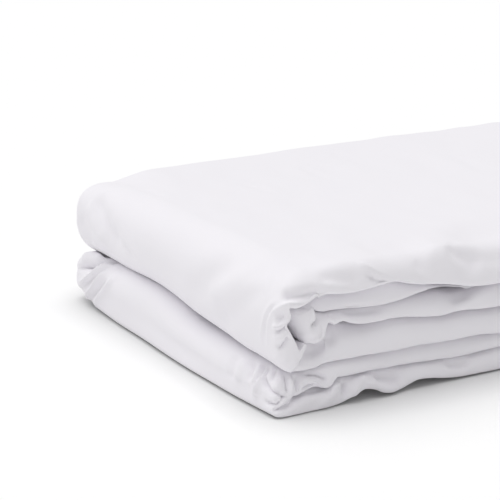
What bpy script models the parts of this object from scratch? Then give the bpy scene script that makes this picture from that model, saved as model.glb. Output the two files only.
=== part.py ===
"""A folded fitted sheet, lying flat.

The cloth is first folded lengthwise into a soft strip of many plies, as wide as the
bundle is deep. The strip is then folded back and forth along X into six layers, which
make two packs: four layers above and two below. On the left each pack ends in a rounded
turn, and the front and the back show the rounded edges of the layers.

The solid is that strip in one piece. It is a loft: a ring round the strip, with its two
sides and its two rounded edges, follows it from its inner free end to its outer one.

+X runs from the rounded turns to the right, +Y to the back and +Z up. The origin is the
middle of the bundle's base. The tables are in millimetres, with x counted from the
bundle's left side and z from its base.
"""

import math

import bmesh
import bpy
from mathutils import Vector

MM = 0.001

LENGTH = 402.0
DEPTH = 280.0

# The layers in the order in which the strip runs through them. low and high are the heights
# of a layer's lower and upper sides, near the left turns and in the settled right part.
# low_rise and high_rise are the shares of the section's rise that the sides take, and front
# is how far the layer's front edge stands out from the bundle's front.
LAYER_COLUMNS = (
    "name", "low_left", "high_left", "low_right", "high_right", "low_rise", "high_rise", "front"
)
LAYERS = (
    ("inner_lower", 51.0, 60.0, 43.0, 51.5, 0.0, 0.0, -3.0),
    ("inner_upper", 61.0, 73.5, 52.5, 61.5, 0.0, 0.0, -4.0),
    ("top", 74.5, 90.0, 62.5, 89.0, 0.0, 0.0, 2.0),
    ("upper_base", 29.5, 49.6, 27.0, 42.0, 1.0, 0.15, 0.0),
    ("lower_top", 18.5, 28.5, 16.2, 26.0, 0.5, 1.0, -2.0),
    ("bottom", 0.0, 17.5, 0.0, 15.2, 0.0, 0.5, 1.0),
)
LEFT_END = 80.0  # the heights are the left ones up to here
RIGHT_START = 190.0  # and the right ones from here

# The turns between one layer and the next: where the flat runs end, how far the inner and
# the outer side of the strip reach past that, and how square the turn's second half is (1
# is a half ellipse, less is squarer).
TURN_COLUMNS = ("start", "inner", "outer", "square", "steps")
TURNS = (
    (25.0, 0.6, 11.5, 1.0, 8),
    (383.0, 0.6, 16.0, 1.0, 8),
    (29.0, 19.0, 29.0, 0.8, 14),
    (388.0, 0.6, 12.0, 1.0, 8),
    (15.0, 0.6, 14.0, 0.5, 12),
)
LAST_TURN = len(TURNS) - 1
INNER_END = 384.0  # the strip's free end inside the upper pack
OUTER_END = 396.0  # and the one at the bottom right

# How the bundle changes from the front (0) to the back (1): rise lifts the fold between
# the two left turns, droop lowers the top there, inset draws the lower turn in, and fill
# lifts its upper side into the hollow under the upper turn.
SECTION_COLUMNS = ("at", "rise", "droop", "inset", "fill")
SECTIONS = (
    (0.00, 0.0, 2.0, -1.0, 0.0),
    (0.08, -1.4, 0.0, -1.0, 0.0),
    (0.25, -2.3, 0.0, -1.6, 0.3),
    (0.40, -1.6, 0.0, -2.3, 1.0),
    (0.60, 5.0, 0.5, -2.8, 2.5),
    (0.80, 4.5, 2.0, -1.8, 2.8),
    (1.00, 1.5, 5.0, -1.8, 2.8),
)
TURN_REACH = 95.0  # how far from the left side these changes fade out
FILL_START = 27.0  # where the lower turn's fill starts, and where it is whole
FILL_END = 12.0

EDGE_ROUNDING = 7.0  # the most that a layer's front or back edge is rounded over
EDGE_STEPS = 5
EDGE_WANDER = 1.3  # how far the edges wander in and out, over this length
EDGE_WAVE = 118.0
CORNER_DRAW = {"front": 0.0, "back": -2.5}  # how far the corners at the left are drawn in
CORNER_REACH = 105.0

RUN_STEPS = 13
RUN_SPACING = 1.5  # over 1, the steps are finer towards the left
DEPTH_SHARES = (0.0, 0.07, 0.18, 0.32, 0.47, 0.62, 0.77, 0.90, 1.0)
END_CLOSING = ((2.5, 0.85), (4.0, 0.5))  # (distance past a free end, thickness kept)

CLOTH_COLOUR = (0.88, 0.88, 0.91, 1.0)


def rows(columns, table):
    """The table's rows as dictionaries."""
    return [dict(zip(columns, row)) for row in table]


def mix(a, b, share):
    return a + (b - a) * share


def smooth(share):
    """0 to 1 with level ends."""
    share = min(max(share, 0.0), 1.0)
    return share * share * (3 - 2 * share)


def section_at(share):
    """The section's values at this share of the depth, between the rows of the table."""
    table = rows(SECTION_COLUMNS, SECTIONS)
    low, high = next(pair for pair in zip(table, table[1:]) if share <= pair[1]["at"])
    part = smooth((share - low["at"]) / (high["at"] - low["at"]))
    return {key: mix(low[key], high[key], part) for key in SECTION_COLUMNS}


def layer_sides(number, x, share):
    """The heights at x of a layer's two sides, at this share of the depth. The strip turns
    over at each turn, so its first side is the upper one in every other layer."""
    layer = rows(LAYER_COLUMNS, LAYERS)[number]
    section = section_at(share)
    near_left = 1 - smooth(x / TURN_REACH)
    settled = smooth((x - LEFT_END) / (RIGHT_START - LEFT_END))
    low = mix(layer["low_left"], layer["low_right"], settled)
    high = mix(layer["high_left"], layer["high_right"], settled)
    low += section["rise"] * layer["low_rise"] * near_left
    high += section["rise"] * layer["high_rise"] * near_left
    if layer["name"] == "top":
        high -= section["droop"] * near_left
    if layer["name"] == "lower_top":
        high += section["fill"] * smooth((FILL_START - x) / (FILL_START - FILL_END))
    return (high, low) if number % 2 == 0 else (low, high)


def run_sections(number, start, end, share):
    """The (x, z) of both sides along a layer's flat run."""
    left, right = min(start, end), max(start, end)
    sections = []
    for step in range(RUN_STEPS + 1):
        x = mix(left, right, (step / RUN_STEPS) ** RUN_SPACING)
        first, second = layer_sides(number, x, share)
        sections.append(((x, first), (x, second)))
    return sections if start < end else sections[::-1]


def turn_sections(number, share):
    """The (x, z) of both sides round the turn after a layer: the inner one lies between the
    sides that face each other, and both are half ellipses with a squarer second half."""
    turn = rows(TURN_COLUMNS, TURNS)[number]
    before = layer_sides(number, turn["start"], share)
    after = layer_sides(number + 1, turn["start"], share)
    first_is_inner = abs(after[0] - before[0]) < abs(after[1] - before[1])
    way = -1 if turn["start"] < LENGTH / 2 else 1
    outer = turn["outer"]
    if number == LAST_TURN:
        outer -= section_at(share)["inset"]
    reaches = (turn["inner"], outer) if first_is_inner else (outer, turn["inner"])
    sections = []
    for step in range(1, turn["steps"]):
        cosine = math.cos(math.pi * step / turn["steps"])
        square = turn["square"] if cosine < 0 else 1.0
        bulge = (1 - abs(cosine) ** (2 / square)) ** (square / 2)
        sides = []
        for z_before, z_after, reach in zip(before, after, reaches):
            x = turn["start"] + way * reach * bulge
            sides.append((x, mix(z_before, z_after, (1 - cosine) / 2)))
        sections.append(tuple(sides))
    return sections


def closed_end(section):
    """The sections past a free end, where the strip narrows, the outermost one last."""
    (x, first), (_, second) = section
    middle = (first + second) / 2
    sections = []
    for past, kept in END_CLOSING:
        ends = (mix(middle, first, kept), mix(middle, second, kept))
        sections.append(((x + past, ends[0]), (x + past, ends[1])))
    return sections


def strip_sections(share):
    """Both sides along the whole strip, from its inner free end to its outer one."""
    ends = [INNER_END] + [turn[0] for turn in TURNS] + [OUTER_END]
    sections = []
    for number in range(len(LAYERS)):
        sections += run_sections(number, ends[number], ends[number + 1], share)
        if number < len(TURNS):
            sections += turn_sections(number, share)
    return closed_end(sections[0])[::-1] + sections + closed_end(sections[-1])


def strip_fronts():
    """How far the front edge stands out, at each of the strip's sections."""
    fronts = [row["front"] for row in rows(LAYER_COLUMNS, LAYERS)]
    along = [fronts[0]] * len(END_CLOSING)
    for number, front in enumerate(fronts):
        along += [front] * (RUN_STEPS + 1)
        if number < len(TURNS):
            steps = TURNS[number][TURN_COLUMNS.index("steps")]
            along += [mix(front, fronts[number + 1], step / steps) for step in range(1, steps)]
    return along + [fronts[-1]] * len(END_CLOSING)


def edge(side, x, front, place):
    """Where the strip's front or back edge lies at x."""
    near_corner = max(1 - x / CORNER_REACH, 0.0) ** 2
    wander = EDGE_WANDER * math.sin(2 * math.pi * (x / EDGE_WAVE + place))
    drawn_in = CORNER_DRAW[side] * near_corner
    if side == "front":
        return -DEPTH / 2 - front + wander + drawn_in
    return DEPTH / 2 + wander - drawn_in


def ring(sections, front, place):
    """The points round the strip at one place along it. sections holds its two sides at each
    of the depth's shares."""
    points = []
    for side in (0, 1):
        order = range(len(sections)) if side == 0 else reversed(range(len(sections)))
        for index in order:
            x, z = sections[index][side]
            y_front = edge("front", x, front, place) + EDGE_ROUNDING
            y_back = edge("back", x, front, place) - EDGE_ROUNDING
            points.append((x, mix(y_front, y_back, DEPTH_SHARES[index]), z))
        reached, facing = (sections[-1], "back") if side == 0 else (sections[0], "front")
        points += rounded_edge(reached[side], reached[1 - side], facing, front, place)
    return points


def rounded_edge(start, end, side, front, place):
    """The points over the strip's edge from one of its sides to the other."""
    way = 1 if side == "back" else -1
    points = []
    for step in range(1, EDGE_STEPS):
        angle = math.pi * step / EDGE_STEPS
        weight = (1 - math.cos(angle)) / 2
        x = mix(start[0], end[0], weight)
        z = mix(start[1], end[1], weight)
        y = edge(side, x, front, place) - way * EDGE_ROUNDING * (1 - math.sin(angle))
        points.append((x, y, z))
    return points


def cloth_material():
    material = bpy.data.materials.new("white_cotton")
    material.use_nodes = True
    shader = material.node_tree.nodes["Principled BSDF"]
    shader.inputs["Base Color"].default_value = CLOTH_COLOUR
    shader.inputs["Roughness"].default_value = 0.9
    shader.inputs["Metallic"].default_value = 0.0
    return material


def folded_strip(collection):
    """The loft through the rings, closed at the strip's two free ends."""
    lines = [strip_sections(share) for share in DEPTH_SHARES]
    build = bmesh.new()
    rings = []
    for number, (front, sections) in enumerate(zip(strip_fronts(), zip(*lines))):
        points = ring(sections, front, number / len(lines[0]))
        rings.append([build.verts.new(Vector(point) * MM) for point in points])
    for here, after in zip(rings, rings[1:]):
        for corner in range(len(here)):
            build.faces.new(
                (here[corner - 1], here[corner], after[corner], after[corner - 1])
            )
    build.faces.new(rings[0])
    build.faces.new(rings[-1])
    bmesh.ops.recalc_face_normals(build, faces=build.faces)
    centre_on_base(build)
    mesh = bpy.data.meshes.new("folded_sheet")
    build.to_mesh(mesh)
    build.free()
    mesh.shade_smooth()
    mesh.materials.append(cloth_material())
    collection.objects.link(bpy.data.objects.new("folded_sheet", mesh))


def centre_on_base(build):
    """Puts the middle of the bundle's base at the origin."""
    lowest = [min(vert.co[axis] for vert in build.verts) for axis in range(3)]
    highest = [max(vert.co[axis] for vert in build.verts) for axis in range(3)]
    middle = [(low + high) / 2 for low, high in zip(lowest, highest)]
    base = Vector((middle[0], middle[1], lowest[2]))
    bmesh.ops.translate(build, verts=build.verts, vec=-base)


def main():
    for old in list(bpy.data.objects):
        bpy.data.objects.remove(old)
    collection = bpy.data.collections.new("folded_fitted_sheet")
    bpy.context.scene.collection.children.link(collection)
    folded_strip(collection)


main()
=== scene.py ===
"""A white fitted sheet, folded back and forth into a soft bundle, on a pale studio floor."""

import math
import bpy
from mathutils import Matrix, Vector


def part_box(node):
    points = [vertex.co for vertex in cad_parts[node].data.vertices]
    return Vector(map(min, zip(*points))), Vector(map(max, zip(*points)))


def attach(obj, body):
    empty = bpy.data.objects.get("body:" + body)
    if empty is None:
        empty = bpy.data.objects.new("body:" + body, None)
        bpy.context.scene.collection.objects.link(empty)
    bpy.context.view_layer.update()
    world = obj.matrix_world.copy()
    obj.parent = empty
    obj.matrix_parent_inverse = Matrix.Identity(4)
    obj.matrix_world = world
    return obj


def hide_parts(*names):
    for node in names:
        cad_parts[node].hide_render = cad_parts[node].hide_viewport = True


bl_info = {
    "name": "Folded Fitted Sheet",
    "version": (1, 0, 0),
    "blender": (4, 5, 0),
    "location": "View3D > Sidebar > Linen",
    "description": "Makes a folded fitted sheet with its creases, and a studio stage for it",
    "category": "Add Mesh",
}

from collections import namedtuple

import bpy
import numpy as np
from mathutils import Vector

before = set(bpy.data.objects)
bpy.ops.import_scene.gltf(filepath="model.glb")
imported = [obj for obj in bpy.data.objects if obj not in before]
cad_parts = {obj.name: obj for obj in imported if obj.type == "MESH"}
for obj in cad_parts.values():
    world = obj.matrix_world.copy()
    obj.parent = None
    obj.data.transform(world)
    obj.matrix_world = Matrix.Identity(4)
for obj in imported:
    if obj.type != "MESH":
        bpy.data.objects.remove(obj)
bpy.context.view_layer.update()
LOWEST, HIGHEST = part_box("folded_sheet")
MM = 0.001

# ---------------------------------------------------------------------------------------
# The bundle's own sizes, in millimetres. x runs from the rounded left side to the right,
# y from the front to the back and z up from the surface it lies on.
# ---------------------------------------------------------------------------------------

LENGTH, DEPTH = 402.0, 280.0
LAYER_NAMES = ("inner_lower", "inner_upper", "top", "upper_base", "lower_top", "bottom")

# The layers' sides well inside the bundle: their lower and upper heights near the left
# turns and in the right part, and the shares of the section's rise that they take.
Inside = namedtuple("Inside", "low_left high_left low_right high_right low_rise high_rise")
INNER = {
    "inner_lower": Inside(51.0, 60.0, 44.0, 52.5, 0.0, 0.0),
    "inner_upper": Inside(60.6, 73.5, 53.2, 63.0, 0.0, 0.0),
    "top": Inside(74.2, 90.0, 63.7, 89.5, 0.0, 0.0),
    "upper_base": Inside(29.5, 48.5, 27.5, 43.3, 1.0, 0.15),
    "lower_top": Inside(18.5, 28.9, 16.2, 26.9, 0.5, 1.0),
    "bottom": Inside(0.0, 17.9, 0.0, 15.6, 0.0, 0.5),
}
LEFT_END, RIGHT_START = 80.0, 190.0

# The layers' lower edges at the front, along x. The upper edge of a layer is just below the
# lower edge of the one above it.
FRONT_X = (0, 8, 16, 20, 24, 27, 30, 33, 34.8, 36.2, 42, 48, 55, 65, 75, 85, 95, 105, 115, 125, 135,
           145, 155, 165, 200, 300, 402)
FRONT_LOW = {
    "top": (69, 68.5, 68, 68, 69, 71, 72.5, 73, 73.2, 73.2, 72.5, 71.8, 71.6, 72.2, 73.4, 74.3,
            71.5, 69, 67.4, 65.5, 63.3, 61.4, 60.5, 60, 61, 64, 63),
    "inner_upper": (66, 66, 66, 66, 66, 65.6, 62.9, 61.7, 61.3, 61, 61, 60.8, 60.2, 59.2, 58.7,
                    58.9, 59.9, 61.6, 62.9, 63.4, 62, 60.4, 59.5, 59, 60, 62.5, 61.5),
    "inner_lower": (44, 44, 44, 43.8, 43.6, 43.4, 43.4, 44.3, 46.8, 52.6, 52.8, 53.9, 51.4, 49, 48.8,
                    49.2, 48.5, 46.9, 45.5, 44.3, 44.9, 44.7, 43.6, 43, 43.5, 44.5, 44),
    "upper_base": (26, 26, 26, 26, 26, 26.2, 26.8, 27.8, 28.2, 28.4, 28.6, 28.7, 28.7,
                   28.6, 28.3, 28.3, 28.3, 28.5, 28.1, 27.7, 27.4, 27.2, 26.8, 25.9, 27, 28, 27),
    "lower_top": (11, 11, 11.6, 12.8, 14, 14.5, 14.7, 14.4, 14, 13.9, 17.9, 17.6, 17.3, 17.4, 17.2,
                  16.7, 16.7, 16.4, 15.7, 15.1, 14.5, 14.4, 14.6, 15.2, 16, 15.5, 16),
    "bottom": (0, 0, 0, 0, 0, 0, 0, 0, 0, 0, 0.3, 1.2, 3.5, 7.0, 5.5, 1.5, 2.4, 5.2, 4.6, 2.8,
               1.4, 0.9, 0.8, 0.6, 1.5, 0.8, 1.5),
}
# The gaps between a layer and the one above it, where they open at the front.
FRONT_GAP = {
    "inner_lower": (0.4,) * 16 + (1.2, 2.6, 4.2, 5.2, 5.8, 4.4, 2, 0.5, 0.4, 0.4, 0.4),
    "upper_base": (0.4,) * 8 + (1, 2.4, 3.4, 3.4, 2.6, 1.6, 1.2, 0.8) + (0.6,) * 11,
}
# The lip: how high the cloth comes to the front edge, and how far it then rounds down.
LIP_X = (0, 15, 25, 35, 45, 60, 75, 85, 95, 105, 115, 125, 135, 145, 155, 165, 200, 300, 402)
LIP_HIGH = (87, 87, 87.5, 88.5, 90, 90.3, 89.5, 88.3, 88, 87.6, 89, 90.4, 89.5, 88, 86, 84.8, 86, 88.5,
            87)
LIP_ROUND = (18, 18, 17, 15, 13, 12, 13, 15, 16, 16, 14, 12, 13, 15, 18, 20, 18, 14, 16)
ABOVE = {"inner_lower": "inner_upper", "inner_upper": "top", "upper_base": "inner_lower",
         "lower_top": "upper_base", "bottom": "lower_top"}
LAYER_GAP = 0.4
FRONT_SHARE = 0.14  # over this share of the depth the front edge settles into the inside

# A layer's front edge: how far it stands out near the left turns and further right, where
# between its lower and upper side its nose is, and how far the edge rounds back below and
# above the nose.
Edge = namedtuple("Edge", "out_left out_right nose round_below round_above")
EDGES = {
    "inner_lower": Edge(-1.0, -3.0, 0.20, 2.6, 9.0),
    "inner_upper": Edge(-5.0, -4.5, 0.16, 2.2, 8.0),
    "top": Edge(1.0, 2.0, 0.16, 3.0, 19.0),
    "upper_base": Edge(-2.6, -0.5, 0.12, 1.8, 15.0),
    "lower_top": Edge(-1.5, -2.5, 0.24, 2.2, 8.0),
    "bottom": Edge(0.5, 0.0, 0.16, 2.4, 12.0),
}
EDGE_LEFT, EDGE_RIGHT = 30.0, 85.0

# The front edge round the two upper left turns: the share of the turn, how far the edge
# stands out, its nose's place, and its roundings at the strip's first and second side.
CURL_EDGE = (
    (0.0, -1.0, 0.72, 6.0, 2.6),
    (0.25, -0.3, 0.50, 4.0, 6.5),
    (0.6, -1.6, 0.40, 3.0, 12.0),
    (1.0, -5.0, 0.16, 2.2, 8.0),
)
WRAP_EDGE = (
    (0.0, 1.0, 0.84, 19.0, 3.0),
    (0.25, 1.0, 0.82, 12.0, 1.6),
    (0.4, 1.2, 0.80, 8.0, 1.6),
    (0.7, 1.5, 0.78, 7.5, 1.6),
    (0.86, 1.5, 0.70, 6.0, 1.6),
    (0.92, 0.9, 0.60, 3.0, 1.6),
    (0.935, -2.6, 0.30, 2.6, 8.0),
    (1.0, -2.6, 0.12, 1.8, 15.0),
)

# The turns: where the flat runs end, how far the strip's inner and outer sides reach past
# that, and the steps that a turn is made of. The turns at the left run back towards -x.
Turn = namedtuple("Turn", "start inner outer steps")
TURNS = (
    Turn(27.0, 0.8, 11.5, 44),
    Turn(383.0, 0.6, 16.0, 12),
    Turn(29.0, 19.5, 29.0, 96),
    Turn(388.0, 0.6, 12.0, 12),
    Turn(15.0, 0.8, 14.0, 60),
)
CURL_TURN, WRAP_TURN, LOWER_TURN = 0, 2, len(TURNS) - 1
TOP_LAYER = 2
INNER_END, OUTER_END = 382.0, 392.0
END_ANGLES = (0.3, 0.6, 0.85, 1.1, 1.3, 1.45)  # of the strip's two round ends

# The front ends of the big left turn's inner side, which is drawn in unevenly round the
# inner roll, and of the inner roll's outer side: the share of the turn, and x and z there.
MOUTH_PART = (0.0, 0.08, 0.17, 0.24, 0.31, 0.36, 0.43, 0.5, 0.57, 0.64, 0.72, 0.8, 0.86, 0.9, 0.95,
              1.0)
MOUTH_X = (29, 24, 18, 13, 8.5, 9.6, 8.9, 6.8, 8.9, 11.1, 13.3, 15.4, 17.8, 19.5, 23, 29)
MOUTH_Z = (73.5, 71, 69, 68.3, 69, 66, 62.2, 59.4, 55.2, 51, 46.8, 42.5, 44.8, 45.4, 43.4, 43.3)
CURL_PART = (0.0, 0.1, 0.2, 0.3, 0.4, 0.5, 0.6, 0.7, 0.8, 0.9, 1.0)
CURL_X = (27, 22.3, 19.3, 16.8, 14.4, 11.6, 9.8, 9.6, 11.8, 18, 27)
CURL_Z = (43.8, 44.2, 46, 49.5, 54, 58, 62, 65.5, 67.4, 68, 71.5)
MOUTH_DEPTH = 0.09

# How the bundle changes from the front (0) to the back (1).
SECTION_AT = (0.0, 0.07, 0.15, 0.25, 0.4, 0.5, 0.6, 0.8, 0.9, 1.0)
SECTION_RISE = (0.0, -1.4, -2.0, -2.3, -1.6, 2.0, 5.0, 4.5, 3.2, 1.5)
SECTION_DROOP = (1.0, 0.0, 0.0, 0.0, 0.0, 0.0, 0.5, 2.5, 5.4, 10.6)
SECTION_INSET = (-2.4, -3.2, -4.3, -4.8, -5.6, -5.2, -4.4, -3.4, -2.8, -2.2)
SECTION_LIFT = (0.0, 0.0, 0.0, 0.0, 0.0, 0.0, 0.0, 0.0, 0.8, 4.5)  # of the lower turn's underside
# The lower turn's upper side fills the hollow under the upper turn.
SECTION_FILL = (0.0, 0.0, 0.0, 0.3, 1.0, 2.0, 2.4, 2.8, 3.4, 4.2)
# The sections of the two visible left turns: 1 is round, less is squarer.
SHOULDER_SQUARE = (1.0, 1.0, 1.0, 1.0, 1.0, 1.0, 0.95, 0.88, 0.8, 0.64)
UNDER_SQUARE = (0.45, 0.5, 0.5, 0.6, 0.75, 0.8, 0.85, 0.9, 0.95, 1.0)
LOWER_SQUARE = (1.0, 1.0, 1.0, 0.9, 0.8, 0.75, 0.75, 0.75, 0.75, 0.87)
FLOOR_SQUARE = (0.4, 0.33, 0.3, 0.28, 0.28, 0.28, 0.28, 0.3, 0.42, 0.78)
FILL_START, FILL_END = 27.0, 12.0
LIFT_REACH = 70.0
DROOP_REACH = 64.0
FLARE, FLARE_START, FLARE_END = 0.13, 0.5, 0.85  # how the lower turn widens to its foot
TURN_REACH = 95.0
CORNER_DRAW_FRONT, CORNER_DRAW_BACK = -1.0, -3.5
CORNER_REACH = 105.0

# The mesh's steps along the runs, until x, and over the depth, until that share of it.
RUN_STEPS = ((70.0, 0.8), (195.0, 2.0), (LENGTH, 5.0))
DEPTH_STEPS = ((0.12, 0.004), (0.3, 0.01), (0.76, 0.02), (1.0, 0.006))
FRONT_EDGE_STEPS, BACK_EDGE_STEPS = 22, 8
BACK_ROUND = 5.0
END_MARGIN = 0.8  # a run keeps this clear of its two ends
SEEN_FRONT, SEEN_MOUTH, SEEN_BACK = 7.0, 26.0, 276.0  # how deep one sees between the plies
MOUTH_WIDTH = 45.0
SEEN_FIRST_SIDES = (("run", TOP_LAYER), ("turn", 1), ("turn", WRAP_TURN), ("turn", LOWER_TURN))
SEEN_SECOND_SIDES = (("turn", 3),)
KEPT_FACES = 190000

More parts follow.
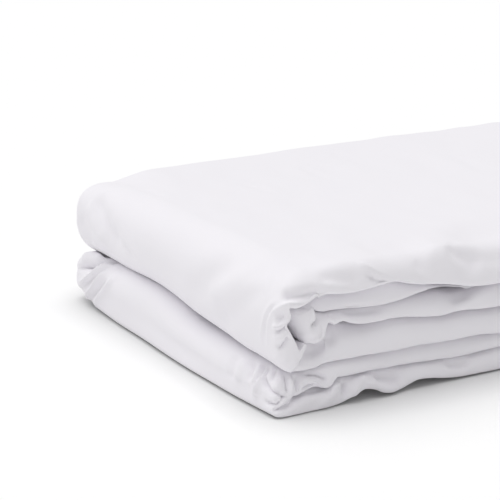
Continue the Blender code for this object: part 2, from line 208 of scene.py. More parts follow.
# The creases. Each runs through its points on the cloth, width is how far
# to its side it reaches and depth how far it stands out (a ridge) or goes in (a trough).
Crease = namedtuple("Crease", "name width depth points")
CREASES = (
    Crease("tuck under the lip", 3.6, -4.6, ((4, 8, 79), (8, 3, 78), (14, 0, 77), (22, -1, 76.3),
        (33, -1, 76.5))),
    Crease("ply out of the tuck", 1.4, 1.9, ((1, 7, 67), (3, 3, 70), (6, 0, 72.6), (9, -1, 73),
        (15, -1, 72), (23, -1, 71.6))),
    Crease("corner dimple", 3.2, -3.6, ((1, 4, 62), (2, 1, 64), (5, -1, 66.5))),
    Crease("corner bump", 2.0, 2.0, ((0, 6, 57), (1, 2, 58.5), (4, -1, 60))),
    Crease("upper mouth tuck", 1.5, -3.8, ((0, 5, 54), (1, 1, 56), (4, -1, 57.5), (7, -1, 58))),
    Crease("mouth bulge", 2.8, 1.4, ((0, 5, 50), (2, 0, 52), (6, -1, 53))),
    Crease("lower mouth tuck", 1.6, -3.6, ((1, 3, 44), (3, 0, 46.5), (6, -1, 50), (8, -1, 53))),
    Crease("flap", 4.5, 0.9, ((4, 3, 38), (9, 0, 37), (14, 0, 38))),
    Crease("flap edge", 0.8, 0.8, ((19.5, 0, 44), (18, 0, 39), (15.5, 0, 32))),
    Crease("under the flap", 1.0, -2.2, ((22, 3, 44), (20.5, 3, 38), (17.5, 2, 31))),
    Crease("outer ring", 2.0, 1.1, ((2, 20, 42), (0, 17, 55), (1, 13, 67), (4, 8, 74))),
    Crease("ring trough", 1.8, -1.1, ((1, 16, 43), (0, 14, 56), (1, 10.5, 67), (3, 6, 72))),
    Crease("inner ring", 1.8, 1.1, ((1, 12, 44), (0, 11, 57), (1, 8, 66), (3, 4, 71))),
    Crease("shoulder ridge", 7.5, 2.4, ((9, 20, 83), (5, 27, 78), (2, 37, 72), (0, 46, 65),
        (0, 58, 55), (1, 66, 46))),
    Crease("shoulder trough", 8.0, -2.6, ((7, 22, 80), (4, 28, 75), (1, 40, 67), (0, 52, 58),
        (1, 64, 47), (3, 74, 40))),
    Crease("second shoulder ridge", 9.0, 1.6, ((8, 40, 82), (4, 50, 76), (1, 62, 67), (0, 76, 58),
        (1, 90, 47))),
    Crease("second shoulder trough", 10.0, -1.8, ((8, 62, 82), (4, 72, 75), (1, 86, 66),
        (0, 100, 56), (1, 112, 47))),
    Crease("hook ridge", 1.8, 2.0, ((24, 6, 67), (26, 3, 63.5), (27, 1, 60), (25, 0, 57.5))),
    Crease("hook trough", 1.0, -2.6, ((30.5, 3, 61.5), (31, 1, 59.8), (28.2, 0, 57),
        (25.3, 0, 55.6), (23, 0, 55.4))),
    Crease("curl hem", 0.8, -1.5, ((31.5, 2, 55), (33, 1, 51.5), (32.3, 1.5, 48),
        (29.5, 1.5, 46))),
    Crease("curl arc", 0.9, -1.1, ((20, 0, 49.5), (26, 0.5, 46.8), (31, 0.5, 48.5))),
    Crease("curl bulge", 4.5, 1.7, ((19, 0, 54), (25, 0, 49.5), (31, 1, 50))),
    Crease("upper ply by the curl", 2.0, 0.9, ((37, 2, 57.5), (42, 1, 55))),
    Crease("lip dart's edge", 2.6, 1.9, ((60, 7, 87), (64, 4, 86), (69, 1, 83.5), (76, -1.5, 79.5),
        (85, -0.5, 75))),
    Crease("lip dart", 2.2, -3.4, ((63, 1, 82), (68, -0.5, 79.5), (73, -1.5, 77), (79, -1, 75.5))),
    Crease("dent left of the dart", 4.2, -2.0, ((30, 4, 85.5), (40, 2, 83.5), (50, 0.5, 81),
        (61, -0.5, 79))),
    Crease("fold by that dent", 2.6, 0.9, ((30, 2, 80), (38, 0, 79), (46, -1, 77), (56, -1, 75))),
    Crease("right lip ridge", 8.5, 1.8, ((112, 10, 89), (120, 4, 85), (127, 0, 78), (136, 0, 68))),
    Crease("right lip dent", 8.5, -3.6, ((128, 9, 88), (136, 5, 84), (144, 0, 78), (153, -1, 71))),
    Crease("long lip dent", 5.0, -1.8, ((132, 6, 86), (142, 3, 83), (152, 1, 80), (170, 0, 77),
        (200, 0, 76))),
    Crease("small lip dent", 4.2, -1.3, ((102, 3, 85), (105, 1, 81), (109, -1, 76))),
    Crease("under the upper ply", 3.4, -2.2, ((46, 5, 60), (58, 5, 59), (70, 5, 57.6),
        (84, 5, 57))),
    Crease("hollow under the curl", 5.4, -3.4, ((18, 4, 40), (24, 5, 37.5), (31, 5, 39.5),
        (40, 6, 43.5), (49, 6, 47.5))),
    Crease("pocket in the ply", 4.6, -1.9, ((149, 4, 58), (143, 4, 56.5), (137, 4, 55),
        (130, 4, 54))),
    Crease("ply bulge", 3.5, 1.6, ((132, 3, 48), (144, 3.5, 51), (155, 4.5, 54), (170, 5.5, 55))),
    Crease("big corner ply", 2.2, 3.4, ((9.5, 26.5, 26), (2.5, 20.5, 21), (-0.5, 20.5, 15.5),
        (-1, 21, 10), (-1.5, 17, 7))),
    Crease("trough by it", 1.8, -3.4, ((9.5, 29, 26.5), (4, 24, 23), (1, 22.5, 19.5),
        (-0.5, 23, 14))),
    Crease("ply trough", 1.5, -4.4, ((10, 26, 26.5), (6, 22, 24), (2.5, 19, 21), (1, 13.5, 17.5),
        (0.5, 10, 16.5))),
    Crease("ply trough's foot", 1.3, -3.6, ((1, 13.5, 17.5), (0.5, 7, 15.5), (2, 2, 15),
        (3.5, 0, 13))),
    Crease("far pleat", 2.6, 2.2, ((6.5, 30, 25), (2, 26, 20.5), (-0.5, 25, 14))),
    Crease("far pleat trough", 2.6, -2.6, ((6.5, 38, 25.5), (1.5, 32, 21.5), (-1, 31, 14))),
    Crease("farthest pleat", 3.2, 1.8, ((5, 45, 25), (1, 42, 20), (-2, 42, 10))),
    Crease("farthest pleat trough", 3.2, -2.0, ((4, 54, 24), (0, 51, 18), (-2, 50, 9))),
    Crease("knob", 2.6, 1.6, ((5, 8, 22), (3.5, 4.5, 19.5), (2.5, 3, 17.5))),
    Crease("left of the knob", 1.2, -2.4, ((9.5, 17.5, 25.5), (6, 14, 23), (3, 11.5, 20.5))),
    Crease("right of the knob", 1.2, -3.0, ((10.5, 11, 25), (8.5, 3.5, 22), (8, 1.5, 18.5),
        (7, 0, 14.5))),
    Crease("knob ring", 0.9, -2.0, ((0.5, 5, 15.5), (2.5, 2.5, 17), (3.5, 1, 14.5))),
    Crease("corner hole", 1.3, -4.2, ((3.5, 0.5, 13.5), (6, 0, 13))),
    Crease("upper floor slit", 1.2, -3.4, ((-1, 12, 8.5), (-0.5, 6.5, 8), (0.5, 1, 9.5),
        (3.5, 0, 12))),
    Crease("lower floor slit", 1.3, -4.0, ((-1.5, 6.5, 4), (1.5, -0.5, 6), (6, -1, 7),
        (12.5, 1.5, 9))),
    Crease("hanging ply", 2.0, 2.2, ((13, 5, 24), (11, 1.5, 19.5), (10, 0, 13.5))),
    Crease("right of the hanging ply", 1.3, -3.4, ((16, 4, 24), (14.5, 1.5, 19), (16, 1, 15))),
    Crease("wavy lip", 1.7, 2.8, ((17, 1, 15.5), (17.5, 1, 19), (21.5, 1.5, 21), (27.5, 1.5, 19),
        (33.5, 1.5, 15.5), (39, 1.5, 15), (43, 1.5, 17.5), (45, 2, 20))),
    Crease("above the wavy lip", 1.6, -3.8, ((21, 4, 23), (25.5, 4, 23.5), (30, 3.5, 22),
        (34.5, 2.5, 19), (37.5, 1.5, 17))),
    Crease("in the wavy lip", 1.1, -2.4, ((18.5, 1, 14.5), (21.5, 1, 16.5), (25.5, 1, 17),
        (30, 1, 15.5))),
    Crease("diagonal floor fold", 3.0, 2.6, ((6.5, -1, 4.5), (15.5, 0, 7), (23.5, 0, 9),
        (32.5, 0.5, 10), (40.5, 1, 13))),
    Crease("trough under the wavy lip", 2.2, -1.8, ((22, 2, 11.5), (29, 2, 12), (36, 2, 12))),
    Crease("second diagonal fold", 2.2, 3.0, ((28, -1, 2.5), (37.5, 0, 6.5), (44, 1, 12),
        (47.5, 2, 15.5))),
    Crease("upright trough", 1.9, -4.2, ((51.5, 3.5, 15), (49.5, 1, 10.5), (49, -0.5, 5))),
    Crease("third diagonal fold", 2.2, 3.0, ((52.5, -0.5, 4), (58, 0, 9), (63, 1, 13.5),
        (67, 1.5, 16))),
    Crease("fourth diagonal fold", 2.6, 2.6, ((62, 0, 13), (72, 0, 9), (82, 0, 5.5), (92, 0, 4))),
    Crease("hollow in the bottom ply", 3.8, -4.6, ((72, 2, 14.4), (78, 2, 13.2), (86, 1.5, 10.5),
        (94, 1, 7))),
    Crease("second hollow in it", 3.0, -3.0, ((127, 2, 12.8), (134, 1.5, 12), (141, 1, 10.8),
        (148, 2, 11.6))),
    Crease("rim over the hollows", 2.2, 1.4, ((72, 0, 5.5), (84, 0, 4), (98, 0, 6.5))),
    Crease("back hole", 1.8, -5.0, ((13, 266, 34), (12.5, 260, 34.5), (12, 254, 35))),
    Crease("back main crease", 2.4, -8.0, ((-0.5, 279, 22), (0.5, 268, 27), (2.5, 257, 30.5),
        (6, 249, 33), (11, 243, 35), (16, 238, 36))),
    Crease("back crease's end", 2.2, -4.0, ((2.5, 257, 30.5), (6, 250, 33), (10, 244, 35),
        (14, 239, 36))),
    Crease("back ply", 2.3, 3.6, ((-1, 277, 11.5), (-1.5, 263.5, 18.5), (-0.5, 252, 26),
        (2.5, 246.5, 31.5), (8, 243, 34.5), (13.5, 241, 35.5))),
    Crease("back trough", 2.2, -2.8, ((-1, 273, 8), (-1.5, 256.5, 19.5), (-0.5, 247, 26.5),
        (2.5, 241, 31.5), (6, 236, 34.5))),
    Crease("back middle ply", 2.4, 3.4, ((-1, 264, 3), (-1.5, 255.5, 11), (-1.5, 246.5, 19.5),
        (-0.5, 239, 27), (3.5, 233.5, 33))),
    Crease("back second trough", 2.4, -2.4, ((-0.5, 258, 3), (-1.5, 247, 13), (-1.5, 236.5, 21.5),
        (-0.5, 228, 29.5))),
    Crease("back far ply", 2.8, 2.8, ((-1, 247, 4), (-1.5, 240.5, 11), (-2, 231, 19.5),
        (-1.5, 223, 27), (2.5, 219, 33))),
    Crease("back lobe", 5.0, 3.8, ((1, 278, 28.5), (6.5, 271, 31), (8, 262, 32.5),
        (11, 252, 33.5))),
    Crease("upper back trough", 9.0, -4.0, ((5, 262, 79), (3, 254.5, 77), (1, 244.5, 72),
        (0, 236, 67), (-0.5, 228, 62), (0, 216, 57), (0, 201, 55))),
    Crease("upper back ridge", 6.5, 2.4, ((2.5, 265, 76.5), (0.5, 256, 70.5), (-0.5, 248.5, 62.5),
        (0, 241.5, 56.5), (1, 231, 51.5))),
    Crease("small back dent", 8.5, -1.6, ((0, 276, 63), (0, 269, 56), (1.5, 264, 49),
        (3, 258, 44.5))),
    Crease("side wrinkle", 3.2, -1.8, ((-0.5, 206.5, 59.5), (0, 199, 56), (0.5, 194.5, 53),
        (1.5, 192, 50))),
    Crease("top wrinkle", 2.2, -0.35, ((25, 148, 90), (38, 144, 90), (54, 145, 90), (72, 142, 90),
        (88, 134, 90))),
    Crease("top wrinkle behind", 2.8, -0.4, ((91, 210, 90), (96, 197, 90), (99, 180, 90),
        (102, 161, 90))),
    Crease("small top wrinkle", 2.5, -0.35, ((43, 113, 90), (53, 100, 90), (66, 89, 90))),
    Crease("long top wrinkle", 4.0, -0.45, ((160, 233, 90), (156, 210, 90), (155, 189, 90))),
    Crease("far top wrinkle", 4.0, -0.5, ((206, 262, 90), (202, 249, 90), (196, 236, 90))),
    Crease("right top wrinkle", 4.5, -0.6, ((274, 203, 90), (272, 175, 90), (266, 142, 90))),
    Crease("top left wrinkle", 2.0, -0.4, ((28, 233, 90), (31, 222, 90), (30, 204, 90))),
)

CREASE_POINTS = 14  # that a crease's smooth line is made of
CREASE_REACH, CREASE_MARGIN = 2.6, 2.0  # a crease moves nothing past this many widths and this
CREASE_FADE, CREASE_TIP = 0.25, 0.15  # the share over which its ends fade, and what stays there
SHARP, SOFT, BROAD = 1.35, 2.0, 2.9  # creases narrower than the last have sharper lines

# Long soft waves all over the cloth: their length and height, each in several directions.
Wave = namedtuple("Wave", "length height count")
WAVES = (Wave(130.0, 0.4, 5), Wave(62.0, 0.32, 7), Wave(31.0, 0.15, 8), Wave(15.0, 0.045, 8))
WAVE_SEED = 7
SETTLED_HEIGHT = 14.0  # below this the cloth lies ever quieter on its surface

CENTRE = np.array((201.0, 140.0, 0.0))  # of the bundle, which is the part's origin

# ---------------------------------------------------------------------------------------
# The stage, in metres, and the fixed parts of the two materials.
# ---------------------------------------------------------------------------------------

FLOOR_SIZE, FLOOR_DROP = 24.0, 0.0002
# The floor's painted contact shadow: how far from the cloth its colour is darkened, the share of its
# colour left where it is darkest, and the samples used to find it.
CONTACT_REACH, PAINTED_CONTACT_SHADE, CONTACT_SAMPLES = 0.045, 0.55, 16
KEY_FROM = Vector((-0.2, 0.25, 1.0))
CAMERA_PLACE = (-0.576 - 0.201, -0.950 - 0.140, 0.436)
SENSOR = 36.0
COTTON = {
    "Roughness": 0.85,
    "Sheen Weight": 0.15,
    "Sheen Roughness": 0.5,
    "Specular IOR Level": 0.2,
}


def mix(a, b, share):
    return a + (b - a) * share


def smooth(share):
    """0 to 1 with level ends."""
    share = np.clip(share, 0.0, 1.0)
    return share * share * (3 - 2 * share)


def curve(x, knots, values):
    """A smooth curve through the values at the knots (Catmull-Rom)."""
    knots, values = np.asarray(knots, float), np.asarray(values, float)
    x = np.clip(x, knots[0], knots[-1])
    slopes = np.gradient(values, knots)
    index = np.clip(np.searchsorted(knots, x, side="right") - 1, 0, len(knots) - 2)
    width = knots[index + 1] - knots[index]
    t = (x - knots[index]) / width
    return (
        values[index] * (1 + 2 * t) * (1 - t) ** 2
        + slopes[index] * width * t * (1 - t) ** 2
        + values[index + 1] * t * t * (3 - 2 * t)
        + slopes[index + 1] * width * t * t * (t - 1)
    )


def inner_heights(name, x, share):
    """A layer's lower and upper heights well inside the bundle."""
    row = INNER[name]
    near_left = 1 - smooth(x / TURN_REACH)
    settled = smooth((x - LEFT_END) / (RIGHT_START - LEFT_END))
    rise = curve(share, SECTION_AT, SECTION_RISE) * near_left
    low = mix(row.low_left, row.low_right, settled) + rise * row.low_rise
    high = mix(row.high_left, row.high_right, settled) + rise * row.high_rise
    if name == "top":
        high = high - curve(share, SECTION_AT, SECTION_DROOP) * (1 - smooth(x / DROOP_REACH))
    if name == "lower_top":
        filled = smooth((FILL_START - x) / (FILL_START - FILL_END))
        high = high + curve(share, SECTION_AT, SECTION_FILL) * filled
    if name == "bottom":
        low = low + curve(share, SECTION_AT, SECTION_LIFT) * (1 - smooth(x / LIFT_REACH))
    return low, high


def front_heights(name, x):
    """A layer's lower and upper heights at its front edge."""
    low = curve(x, FRONT_X, FRONT_LOW[name])
    if name in ABOVE:
        gap = curve(x, FRONT_X, FRONT_GAP[name]) if name in FRONT_GAP else LAYER_GAP
        high = curve(x, FRONT_X, FRONT_LOW[ABOVE[name]]) - gap
    else:
        high = curve(x, LIP_X, LIP_HIGH)
    return low, high


def layer_sides(number, x, share):
    """The heights of a layer's two sides. The strip turns over at each turn, so its first
    side is the upper one in every other layer."""
    name = LAYER_NAMES[number]
    inside = inner_heights(name, x, share)
    front = front_heights(name, x)
    near_front = 1 - smooth(share / FRONT_SHARE)
    low, high = (mix(a, b, near_front) for a, b in zip(inside, front))
    return (high, low) if number % 2 == 0 else (low, high)


def edge_row(number, x):
    """A layer's edge for the strip's two sides: how far it stands out, the nose's place
    from the first side to the second, and the roundings at the two sides."""
    edge = EDGES[LAYER_NAMES[number]]
    out = mix(edge.out_left, edge.out_right, smooth((x - EDGE_LEFT) / (EDGE_RIGHT - EDGE_LEFT)))
    above = float(curve(x, LIP_X, LIP_ROUND)) if number == TOP_LAYER else edge.round_above
    if number % 2 == 0:
        return np.array((out, 1 - edge.nose, above, edge.round_below))
    return np.array((out, edge.nose, edge.round_below, above))


def stepped(end, steps):
    """Places from 0 until just past the end, with each step kept until its own place."""
    places = [0.0]
    while places[-1] < end:
        step = next((size for until, size in steps if places[-1] < until), steps[-1][1])
        places.append(places[-1] + step)
    return places


def strip_stations():
    """Every station along the strip: the layer before and after, the share of the turn
    between them, x at its start, and the turn's row."""
    ends = [INNER_END] + [turn.start for turn in TURNS] + [OUTER_END]
    places = np.array(stepped((HIGHEST.x - LOWEST.x) / MM, RUN_STEPS))
    stations = []
    for number in range(len(LAYER_NAMES)):
        start, end = ends[number], ends[number + 1]
        left, right = min(start, end), max(start, end)
        inside = places[(places > left + END_MARGIN) & (places < right - END_MARGIN)]
        xs = np.concatenate(([left], inside, [right]))
        xs = xs if start < end else xs[::-1]
        stations += [("run", number, float(x), 0.0) for x in xs]
        if number < len(TURNS):
            turn = TURNS[number]
            stations += [
                ("turn", number, turn.start, k / turn.steps) for k in range(1, turn.steps)
            ]
    return stations


def station_sides(station, share):
    """(x, z) of the strip's two sides at a station, for an array of depth shares."""
    kind, number, x, part = station
    x = np.full_like(share, x)
    if kind == "run":
        first, second = layer_sides(number, x, share)
        return (x, first), (x, second)
    turn = TURNS[number]
    before = layer_sides(number, x, share)
    after = layer_sides(number + 1, x, share)
    first_is_inner = abs(after[0][-1] - before[0][-1]) < abs(after[1][-1] - before[1][-1])
    way = -1 if turn.start < LENGTH / 2 else 1
    outer = np.full_like(share, turn.outer)
    if number == LOWER_TURN:
        outer = outer - curve(share, SECTION_AT, SECTION_INSET)
    sine, cosine = np.full_like(share, math.sin(math.pi * part)), math.cos(math.pi * part)
    if number in (WRAP_TURN, LOWER_TURN):
        upper_half, lower_half = SHOULDER_SQUARE, UNDER_SQUARE
        if number == LOWER_TURN:
            upper_half, lower_half = LOWER_SQUARE, FLOOR_SQUARE
            outer = outer * (1 + FLARE * smooth((part - FLARE_START) / (FLARE_END - FLARE_START)))
        square = curve(share, SECTION_AT, upper_half if part < 0.5 else lower_half)
        sine = (1 - abs(cosine) ** (2 / square)) ** (square / 2)
    reaches = (turn.inner, outer) if first_is_inner else (outer, turn.inner)
    sides = [
        [x + way * reach * sine, mix(z_before, z_after, (1 - cosine) / 2)]
        for z_before, z_after, reach in zip(before, after, reaches)
    ]
    if number in (CURL_TURN, WRAP_TURN):
        parts, xs, zs = CURL_PART, CURL_X, CURL_Z
        if number == WRAP_TURN:
            parts, xs, zs = MOUTH_PART, MOUTH_X, MOUTH_Z
        at_front = 1 - smooth(share / MOUTH_DEPTH)
        side = sides[0 if first_is_inner == (number == WRAP_TURN) else 1]
        side[0] = mix(side[0], float(curve(part, parts, xs)), at_front)
        side[1] = mix(side[1], float(curve(part, parts, zs)), at_front)
    return sides


def station_edge(station):
    """The edge's row at a station."""
    kind, number, x, part = station
    if kind == "run":
        return edge_row(number, x)
    weight = (1 - math.cos(math.pi * part)) / 2
    edge = mix(edge_row(number, x), edge_row(number + 1, x), weight)
    if number in (CURL_TURN, WRAP_TURN):
        table = np.array(WRAP_EDGE if number == WRAP_TURN else CURL_EDGE)
        edge = np.array([np.interp(part, table[:, 0], values) for values in table[:, 1:].T])
    return edge


def depth_shares():
    """Shares of the depth at which the strip's sides have points: close at the front."""
    return np.array(stepped(1.0, DEPTH_STEPS)[:-1] + [1.0])


def rounded_end(row, way):
    """The rows that close an end of the strip with a soft round edge."""
    count = len(depth_shares())
    second_side = slice(count + BACK_EDGE_STEPS - 1, 2 * count + BACK_EDGE_STEPS - 1)
    first, second = row[:count, 2], row[second_side, 2][::-1]
    centre = (first + second) / 2
    middle = row.copy()
    middle[:, 2] = centre[0]
    middle[:count, 2] = centre
    middle[second_side, 2] = centre[::-1]
    middle[count:count + BACK_EDGE_STEPS - 1, 2] = centre[-1]
    rows = []
    for angle in END_ANGLES:
        moved = mix(middle, row, math.cos(angle))
        moved[:, 0] += way * np.abs(first - second).mean() / 2 * math.sin(angle)
        rows.append(moved)
    return rows


def strip_grid():
    """The strip's skin as a grid of points: rows along the strip, columns round it."""
    shares = depth_shares()
    grid = []
    for station in strip_stations():
        (x0, z0), (x1, z1) = station_sides(station, shares)
        out, nose, round0, round1 = station_edge(station)
        front = -out + CORNER_DRAW_FRONT * np.clip(1 - x0[0] / CORNER_REACH, 0, 1) ** 2
        back = DEPTH - CORNER_DRAW_BACK * np.clip(1 - x0[-1] / CORNER_REACH, 0, 1) ** 2
        y0 = mix(front + round0, back - BACK_ROUND, shares)
        y1 = mix(front + round1, back - BACK_ROUND, shares)
        side0 = np.stack((x0, y0, z0), 1)
        side1 = np.stack((x1, y1, z1), 1)
        angle = np.pi * np.arange(1, BACK_EDGE_STEPS) / BACK_EDGE_STEPS
        weight = (1 - np.cos(angle)) / 2
        back_edge = side0[-1] + (side1[-1] - side0[-1]) * weight[:, None]
        back_edge[:, 1] = back - BACK_ROUND * (1 - np.sin(angle))
        angle = np.pi * np.arange(1, FRONT_EDGE_STEPS) / FRONT_EDGE_STEPS
        weight = np.where(
            angle < np.pi / 2,
            mix(1, nose, 1 - np.cos(angle)),
            nose * (1 + np.cos(angle)),
        )
        radius = np.where(angle < np.pi / 2, round1, round0)
        front_edge = side0[0] + (side1[0] - side0[0]) * weight[:, None]
        front_edge[:, 1] = front + radius * (1 - np.sin(angle))
        grid.append(np.concatenate((side0, back_edge, side1[::-1], front_edge)))
    return np.array(rounded_end(grid[0], 1)[::-1] + grid + rounded_end(grid[-1], 1))


def seen_points(grid):
    """1 where the cloth can be seen, 0 between the plies and underneath."""
    seen = np.zeros(grid.shape[:2])
    count = len(depth_shares())
    for row, (kind, number, _, _) in enumerate(strip_stations(), len(END_ANGLES)):
        if (kind, number) in SEEN_FIRST_SIDES:
            seen[row, :count] = 1
        if (kind, number) in SEEN_SECOND_SIDES:
            seen[row, count + BACK_EDGE_STEPS - 1:2 * count + BACK_EDGE_STEPS - 1] = 1
    x, y = grid[:, :, 0], grid[:, :, 1]
    seen[(y < SEEN_FRONT) | (y < SEEN_MOUTH) & (x < MOUTH_WIDTH) | (y > SEEN_BACK)] = 1
    return seen.ravel()


def grid_normals(grid):
    """The outward direction at each point of the grid."""
    along = np.gradient(grid, axis=0)
    around = np.roll(grid, -1, axis=1) - np.roll(grid, 1, axis=1)
    normals = np.cross(around, along)
    return normals / np.maximum(np.linalg.norm(normals, axis=2, keepdims=True), 1e-9)


def crease_line(points):
    """A crease's points, close together on a smooth line."""
    points = np.array(points, float)
    place = np.arange(len(points))
    at = np.linspace(0, len(points) - 1, CREASE_POINTS)
    return np.stack([curve(at, place, points[:, axis]) for axis in range(3)], 1)


def on_cloth(line, points, normals):
    """The crease's line, moved in or out onto the cloth nearest to it."""
    gaps = np.linalg.norm(points[None] - line[:, None], axis=2)
    nearest = gaps.argmin(1)
    along = ((points[nearest] - line) * normals[nearest]).sum(1, keepdims=True)
    return line + normals[nearest] * along


def crease_push(points, normals, width, line, here):
    """How strongly a crease moves each point: 1 on its line, fading to its sides and ends."""
    starts, steps = line[:-1], np.diff(line, axis=0)
    offsets = points[:, None, :] - starts[None]
    part = np.clip((offsets * steps).sum(2) / (steps * steps).sum(1), 0, 1)
    gaps = np.linalg.norm(offsets - part[..., None] * steps, axis=2)
    nearest = gaps.argmin(1)
    rows = np.arange(len(points))
    along = (nearest + part[rows, nearest]) / len(steps)
    ends = smooth(along / CREASE_FADE) * smooth((1 - along) / CREASE_FADE)
    ends = ends * (1 - CREASE_TIP) + CREASE_TIP
    facing = smooth((normals @ here + 0.1) / 0.6)
    sharpness = SHARP if width < BROAD else SOFT
    return np.exp(-((gaps[rows, nearest] / width) ** sharpness)) * ends * facing


def creased(points, normals, strength):
    """The points after every crease has moved them along their normals."""
    moves = np.zeros(len(points))
    for crease in CREASES:
        line = crease_line(crease.points)
        reach = CREASE_REACH * crease.width + CREASE_MARGIN
        near = np.all((points > line.min(0) - reach) & (points < line.max(0) + reach), axis=1)
        close = np.where(near)[0]
        if len(close) < 4:
            raise RuntimeError("no cloth near the crease " + crease.name)
        line = on_cloth(line, points[close], normals[close])
        middle = line[len(line) // 2]
        here = normals[close[np.linalg.norm(points[close] - middle, axis=1).argmin()]]
        push = crease_push(points[close], normals[close], crease.width, line, here)
        moves[close] += crease.depth * push
    return points + normals * (moves * strength)[:, None]


def waved(points, normals, strength):
    """The points after the soft waves have moved them along their normals, less so near the
    surface the bundle lies on."""
    dice = np.random.default_rng(WAVE_SEED)
    moves = np.zeros(len(points))
    for wave in WAVES:
        height = wave.height / math.sqrt(wave.count)
        for _ in range(wave.count):
            way = dice.normal(size=3)
            way *= 2 * math.pi / wave.length / np.linalg.norm(way)
            moves += height * np.sin(points @ way + dice.uniform(0, 2 * math.pi))
    moves *= strength * smooth(points[:, 2] / SETTLED_HEIGHT)
    points = points + normals * moves[:, None]
    points[:, 2] = np.maximum(points[:, 2], 0.0)
    return points


def cloth_mesh(name, look):
    """The cloth's mesh, and for each of its points whether it can be seen."""
    grid = strip_grid()
    rows, columns = grid.shape[:2]
    normals = grid_normals(grid).reshape(-1, 3)
    points = creased(grid.reshape(-1, 3), normals, look.crease_strength)
    points = waved(points, normals, look.wave_strength)
    index = np.arange(rows * columns).reshape(rows, columns)
    nxt = np.roll(index, -1, axis=1)
    quads = np.stack((index[:-1], nxt[:-1], nxt[1:], index[1:]), -1).reshape(-1, 4)
    faces = quads.tolist() + [index[0][::-1].tolist(), index[-1].tolist()]
    mesh = bpy.data.meshes.new(name)
    mesh.from_pydata(((points - CENTRE) * MM).tolist(), [], faces)
    mesh.shade_smooth()
    mesh.update()
    return mesh, seen_points(grid)


def thin_hidden_parts(context, cloth, seen):
    """Leaves fewer faces where no one sees the cloth: between the plies and underneath."""
    hidden = cloth.vertex_groups.new(name="hidden")
    hidden.add(np.where(seen == 0)[0].tolist(), 1.0, "REPLACE")
    thin = cloth.modifiers.new("thin", "DECIMATE")
    thin.ratio = KEPT_FACES / (2 * len(cloth.data.polygons))
    thin.vertex_group = "hidden"
    thin.vertex_group_factor = 1.0
    context.view_layer.objects.active = cloth
    bpy.ops.object.modifier_apply(modifier=thin.name)
    cloth.vertex_groups.clear()


def cloth_material(look):
    material = bpy.data.materials.new("white_cotton")
    material.use_nodes = True
    shader = material.node_tree.nodes["Principled BSDF"]
    shader.inputs["Base Color"].default_value = (*look.cloth_colour, 1.0)
    for socket, value in COTTON.items():
        shader.inputs[socket].default_value = value
    return material


def floor_material(look):
    """Plain studio white, with painted shade: its colour is darker where the cloth comes close to it.
    """
    material = bpy.data.materials.new("studio_white")
    material.use_nodes = True
    nodes, links = material.node_tree.nodes, material.node_tree.links
    shader = nodes["Principled BSDF"]
    # Painted shade: ambient occlusion darkens the floor's base colour near the cloth, standing in for
    # its contact shadow.
    painted_shade_mask = nodes.new("ShaderNodeAmbientOcclusion")
    painted_shade_mask.inputs["Distance"].default_value = CONTACT_REACH
    painted_shade_mask.samples = CONTACT_SAMPLES
    shade = nodes.new("ShaderNodeMix")
    shade.data_type = "RGBA"
    painted_shade_colour = [part * PAINTED_CONTACT_SHADE for part in look.floor_colour]
    shade.inputs["A"].default_value = (*painted_shade_colour, 1.0)
    shade.inputs["B"].default_value = (*look.floor_colour, 1.0)
    links.new(painted_shade_mask.outputs["AO"], shade.inputs["Factor"])
    links.new(shade.outputs["Result"], shader.inputs["Base Color"])
    shader.inputs["Roughness"].default_value = 1.0
    shader.inputs["Specular IOR Level"].default_value = 0.0
    shader.inputs["Emission Color"].default_value = (1, 1, 1, 1)
    shader.inputs["Emission Strength"].default_value = look.floor_glow
    return material


class LINEN_PG_look(bpy.types.PropertyGroup):
    """The sheet's creases and colour, and its stage's colour and light."""

    crease_strength: bpy.props.FloatProperty(
        name="Creases", description="How deep the creases are, as a share of their own depth",
        default=1.0, min=0, max=1, subtype="FACTOR",
    )
    wave_strength: bpy.props.FloatProperty(
        name="Waves", description="How high the soft waves are, as a share of their own height",
        default=1.0, min=0, max=2, subtype="FACTOR",
    )
    cloth_colour: bpy.props.FloatVectorProperty(
        name="Cloth colour", description="Colour of the bleached cotton",
        default=(0.878, 0.86, 0.898), min=0, max=1, subtype="COLOR",
    )
    floor_colour: bpy.props.FloatVectorProperty(
        name="Floor colour", description="Colour of the studio floor",
        default=(0.97, 0.97, 0.97), min=0, max=1, subtype="COLOR",
    )
    floor_glow: bpy.props.FloatProperty(
        name="Floor glow", description="Light that the floor itself gives, as a lit table does",
        default=0.01, min=0, max=2,
    )
    key_strength: bpy.props.FloatProperty(
        name="Key light", description="Strength of the broad key light", default=1.66, min=0,
    )
    key_spread: bpy.props.FloatProperty(
        name="Key spread", description="How wide the key light looks from the bundle",
        default=math.radians(75), subtype="ANGLE",
    )
    ambient: bpy.props.FloatProperty(
        name="Ambient light", description="Light from all round", default=0.52, min=0,
    )
    lens: bpy.props.FloatProperty(
        name="Lens", description="Focal length on a 36 mm sensor", default=140.3,
        subtype="DISTANCE_CAMERA",
    )
    camera_turn: bpy.props.FloatProperty(
        name="Camera turn", description="Camera's direction, turned from +Y towards +X",
        default=math.radians(30.38), subtype="ANGLE",
    )
    camera_dip: bpy.props.FloatProperty(
        name="Camera dip", description="How far the camera looks down",
        default=math.radians(16.47), subtype="ANGLE",
    )


class LINEN_OT_sheet(bpy.types.Operator):
    """Makes the folded sheet's cloth on the folds of its solid"""

    bl_idname = "linen.sheet"
    bl_label = "Folded sheet"

    def execute(self, context):
        look = context.scene.linen_look
        mesh, seen = cloth_mesh("sheet_cloth", look)
        cloth = bpy.data.objects.new("sheet_cloth", mesh)
        context.scene.collection.objects.link(cloth)
        thin_hidden_parts(context, cloth, seen)
        mesh.materials.append(cloth_material(look))
        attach(cloth, "root")
        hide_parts("folded_sheet")
        return {"FINISHED"}


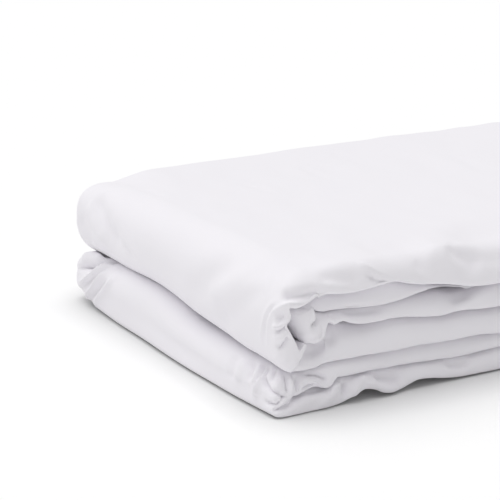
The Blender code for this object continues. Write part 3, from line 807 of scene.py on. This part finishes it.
class LINEN_OT_stage(bpy.types.Operator):
    """Makes the floor, the lights and the camera"""

    bl_idname = "linen.stage"
    bl_label = "Studio stage"

    def execute(self, context):
        look = context.scene.linen_look
        bpy.ops.mesh.primitive_plane_add(size=FLOOR_SIZE, location=(0, 0, -FLOOR_DROP))
        floor = context.object
        floor.name = "studio_floor"
        floor.data.materials.append(floor_material(look))

        world = bpy.data.worlds.new("studio")
        context.scene.world = world
        world.use_nodes = True
        world.node_tree.nodes["Background"].inputs["Strength"].default_value = look.ambient
        world.node_tree.nodes["Background"].inputs["Color"].default_value = (1, 1, 1, 1)

        key = bpy.data.lights.new("key", "SUN")
        key.energy = look.key_strength
        key.angle = look.key_spread
        lamp = bpy.data.objects.new("key", key)
        context.scene.collection.objects.link(lamp)
        lamp.rotation_euler = KEY_FROM.to_track_quat("Z", "Y").to_euler()

        camera = bpy.data.cameras.new("camera")
        camera.lens = look.lens
        camera.sensor_width = SENSOR
        eye = bpy.data.objects.new("camera", camera)
        context.scene.collection.objects.link(eye)
        eye.location = CAMERA_PLACE
        turn, dip = look.camera_turn, look.camera_dip
        ahead = Vector(
            (math.sin(turn) * math.cos(dip), math.cos(turn) * math.cos(dip), -math.sin(dip))
        )
        eye.rotation_euler = ahead.to_track_quat("-Z", "Y").to_euler()
        context.scene.camera = eye
        context.scene.view_settings.view_transform = "Standard"
        return {"FINISHED"}


class LINEN_PT_sidebar(bpy.types.Panel):
    """The sheet's pieces and its stage"""

    bl_label = "Folded sheet"
    bl_idname = "LINEN_PT_sidebar"
    bl_space_type = "VIEW_3D"
    bl_region_type = "UI"
    bl_category = "Linen"

    def draw(self, context):
        look = context.scene.linen_look
        for name in look.bl_rna.properties.keys():
            if name not in ("rna_type", "name"):
                self.layout.prop(look, name)
        self.layout.operator("linen.sheet")
        self.layout.operator("linen.stage")


CLASSES = (LINEN_PG_look, LINEN_OT_sheet, LINEN_OT_stage, LINEN_PT_sidebar)


def register():
    for item in CLASSES:
        bpy.utils.register_class(item)
    bpy.types.Scene.linen_look = bpy.props.PointerProperty(type=LINEN_PG_look)


def unregister():
    del bpy.types.Scene.linen_look
    for item in reversed(CLASSES):
        bpy.utils.unregister_class(item)


def main():
    register()
    bpy.ops.linen.sheet()
    bpy.ops.linen.stage()


if __name__ == "__main__":
    main()
